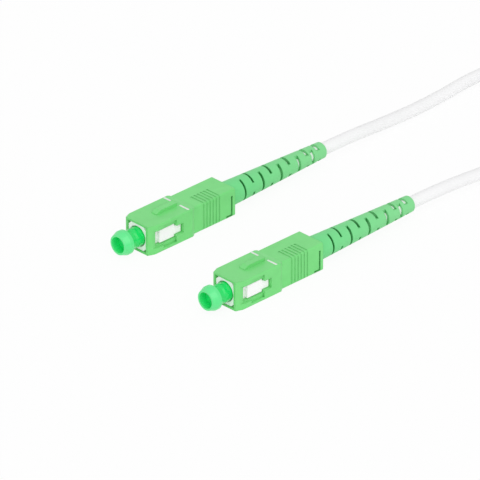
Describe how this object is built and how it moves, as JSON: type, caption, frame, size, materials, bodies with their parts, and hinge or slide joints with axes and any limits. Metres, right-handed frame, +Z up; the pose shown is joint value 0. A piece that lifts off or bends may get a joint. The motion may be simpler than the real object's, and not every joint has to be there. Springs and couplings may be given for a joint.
{
  "type": "fibre optic patch cable",
  "caption": "Simplex fibre patch cable: square green push-pull connectors with slotted boots and pull-off dust caps at both ends of a white round cable, spare length in a tied coil.",
  "frame": {"origin": "on the floor, at the middle of the box round the two connectors", "axes": "+X along the connectors towards the cable, +Y towards the farther connector, +Z up"},
  "size_m": [0.1679, 0.0457, 0.0102],
  "materials": {
    "housing": "satin",
    "boot": "satin",
    "dust_cap": "translucent",
    "plug_frame": "satin",
    "ceramic": "polished",
    "flange_metal": "turned",
    "crimp_metal": "satin",
    "spring_steel": "drawn wire",
    "aramid": "fibrous",
    "cable": "satin",
    "fibre_buffer": "smooth",
    "tie": "woven"
  },
  "bodies": {
    "cord": {"plug_frame_a": "plug_frame", "stop_ring_a": "flange_metal", "crimp_ring_a": "crimp_metal", "aramid_yarn_a": "aramid", "cable_jacket_a": "cable", "buffered_fibre_a": "fibre_buffer", "boot_a": "boot", "ferrule_spring_a": "spring_steel", "plug_frame_b": "plug_frame", "stop_ring_b": "flange_metal", "crimp_ring_b": "crimp_metal", "aramid_yarn_b": "aramid", "cable_jacket_b": "cable", "buffered_fibre_b": "fibre_buffer", "boot_b": "boot", "ferrule_spring_b": "spring_steel", "cable_run_a": "cable", "cable_run_b": "cable", "cable_coil": "cable", "coil_tie_1": "tie", "coil_tie_2": "tie"},
    "housing_a": {"outer_housing_a": "housing"},
    "ferrule_a": {"ferrule_a": "ceramic", "ferrule_flange_a": "flange_metal"},
    "cap_a": {"dust_cap_a": "dust_cap"},
    "housing_b": {"outer_housing_b": "housing"},
    "ferrule_b": {"ferrule_b": "ceramic", "ferrule_flange_b": "flange_metal"},
    "cap_b": {"dust_cap_b": "dust_cap"}
  },
  "joints": [
    {"name": "housing_slide_a", "type": "slide", "parent": "cord", "child": "housing_a", "axis": [1, 0, 0], "range_m": [0, 0.0014]},
    {"name": "ferrule_float_a", "type": "slide", "parent": "cord", "child": "ferrule_a", "axis": [1, 0, 0], "range_m": [0, 0.0012], "stiffness_N_per_m": 900, "springref_m": -0.008, "deforming": ["ferrule_spring_a"]},
    {"name": "cap_pull_a", "type": "slide", "parent": "cord", "child": "cap_a", "axis": [-1, 0, 0], "range_m": [0, 0.012]},
    {"name": "housing_slide_b", "type": "slide", "parent": "cord", "child": "housing_b", "axis": [1, 0, 0], "range_m": [0, 0.0014]},
    {"name": "ferrule_float_b", "type": "slide", "parent": "cord", "child": "ferrule_b", "axis": [1, 0, 0], "range_m": [0, 0.0012], "stiffness_N_per_m": 900, "springref_m": -0.008, "deforming": ["ferrule_spring_b"]},
    {"name": "cap_pull_b", "type": "slide", "parent": "cord", "child": "cap_b", "axis": [-1, 0, 0], "range_m": [0, 0.012]}
  ]
}
